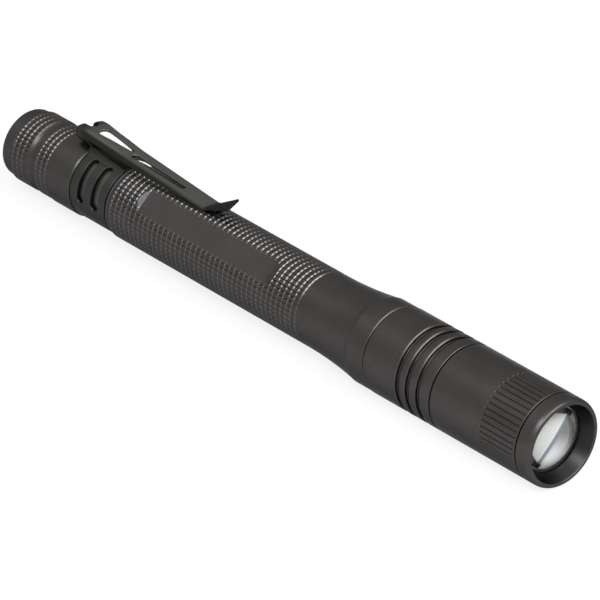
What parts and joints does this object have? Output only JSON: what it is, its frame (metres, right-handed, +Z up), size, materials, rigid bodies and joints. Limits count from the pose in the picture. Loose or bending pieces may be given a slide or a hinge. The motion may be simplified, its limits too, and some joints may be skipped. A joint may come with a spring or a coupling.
{
  "type": "led flashlight",
  "caption": "Slim penlight with a pull-out focus head and convex lens, knurled barrel with a milled flat, folded steel pocket clip and a tail push switch.",
  "frame": {"origin": "on the surface that the light lies on, below the middle of its length, level with the lowest point of the head", "axes": "+X along the light from the tail switch to the lens; +Z up through the pocket clip; the milled flat faces up towards -Y"},
  "size_m": [0.1504, 0.0176, 0.0197],
  "materials": {
    "anodised": "dark gunmetal satin anodising, finely bead blasted",
    "clip_steel": "dark satin coating on sheet steel",
    "lens_glass": "clear polished",
    "rubber": "matte black",
    "bare_aluminium": "turned, uncoated",
    "brass": "turned",
    "spring_steel": "plated wire",
    "white_board": "white solder mask",
    "green_board": "green solder mask",
    "black_plastic": "moulded",
    "emitter": "yellow phosphor on a white package",
    "red_insulation": "wire insulation",
    "cell_wrap": "plain dark film sleeve"
  },
  "bodies": {
    "light": {"barrel": "anodised", "head_body": "anodised", "head_o_ring": "rubber", "focus_o_ring": "rubber", "clip_o_ring": "rubber", "led_pill": "bare_aluminium", "led_board": "white_board", "led_emitter": "emitter", "led_dome": "lens_glass", "lead_positive": "red_insulation", "lead_negative": "black_plastic", "driver_board": "green_board", "driver_chip": "black_plastic", "driver_coil": "brass", "front_insulator": "black_plastic", "front_contact": "brass", "battery_front": "cell_wrap", "battery_rear": "cell_wrap"},
    "focus_runner": {"focus_stop_ring": "spring_steel"},
    "focus_head": {"focus_sleeve": "anodised", "bezel_ring": "anodised", "lens": "lens_glass", "lens_gasket": "rubber"},
    "clip": {"pocket_clip": "clip_steel"},
    "tail_seal": {"tail_o_ring": "rubber"},
    "tail_cap": {"tail_cap": "anodised", "switch_housing": "black_plastic", "switch_board": "green_board", "switch_retainer": "brass", "tail_spring": "spring_steel", "switch_spring": "spring_steel"},
    "button": {"switch_button": "rubber", "switch_plunger": "white_board"}
  },
  "joints": [
    {"name": "focus_slide", "type": "slide", "parent": "light", "child": "focus_runner", "axis": [1, 0, 0], "range_m": [0, 0.006]},
    {"name": "focus_turn", "type": "hinge", "parent": "focus_runner", "child": "focus_head", "pos_m": [0, 0, 0.00877], "axis": [1, 0, 0], "continuous": true},
    {"name": "clip_turn", "type": "hinge", "parent": "light", "child": "clip", "pos_m": [0, 0, 0.00877], "axis": [1, 0, 0], "continuous": true},
    {"name": "cap_travel", "type": "slide", "parent": "light", "child": "tail_seal", "axis": [-1, 0, 0], "range_m": [0, 0.006]},
    {"name": "cap_turn", "type": "hinge", "parent": "tail_seal", "child": "tail_cap", "pos_m": [0, 0, 0.00877], "axis": [-1, 0, 0], "range_deg": [0, 2160]},
    {"name": "button_press", "type": "slide", "parent": "tail_cap", "child": "button", "axis": [1, 0, 0], "range_m": [0, 0.0015], "stiffness_N_per_m": 800, "springref_m": -0.0005, "deforming": ["switch_spring"]}
  ],
  "couplings": [
    {"joint": "cap_turn", "follows": "cap_travel", "rad_per_m": 6283}
  ]
}
